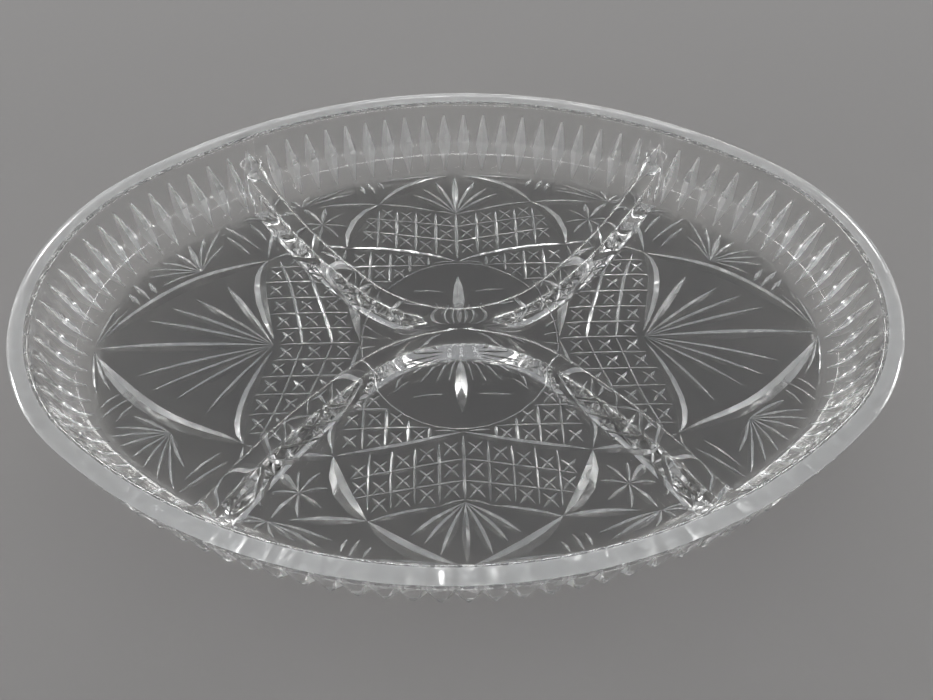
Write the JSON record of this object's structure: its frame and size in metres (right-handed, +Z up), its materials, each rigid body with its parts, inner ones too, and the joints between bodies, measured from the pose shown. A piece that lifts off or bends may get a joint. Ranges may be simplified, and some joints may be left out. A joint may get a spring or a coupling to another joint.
{
  "type": "oval divided serving dish",
  "caption": "Shallow oval serving dish of clear pressed glass: flat rim, upright wall with V-cut flutes outside, cut pattern under the floor, and curved dividers that part it into compartments.",
  "frame": {"origin": "middle of the face that the dish stands on", "axes": "+X along the dish's length to the right, +Y to the back, +Z up out of the open side"},
  "size_m": [0.325, 0.217, 0.0376],
  "materials": {
    "clear_glass": "clear pressed glass, fire-polished, very slightly warm grey"
  },
  "bodies": {
    "root": {"floor_panel": "clear_glass", "wall_back": "clear_glass", "rim_back": "clear_glass", "wall_front": "clear_glass", "rim_front": "clear_glass", "wall_right": "clear_glass", "rim_right": "clear_glass", "wall_left": "clear_glass", "rim_left": "clear_glass", "centre_hub": "clear_glass", "divider_back_left": "clear_glass", "divider_back_right": "clear_glass", "divider_front_left": "clear_glass", "divider_front_right": "clear_glass"}
  },
  "joints": []
}
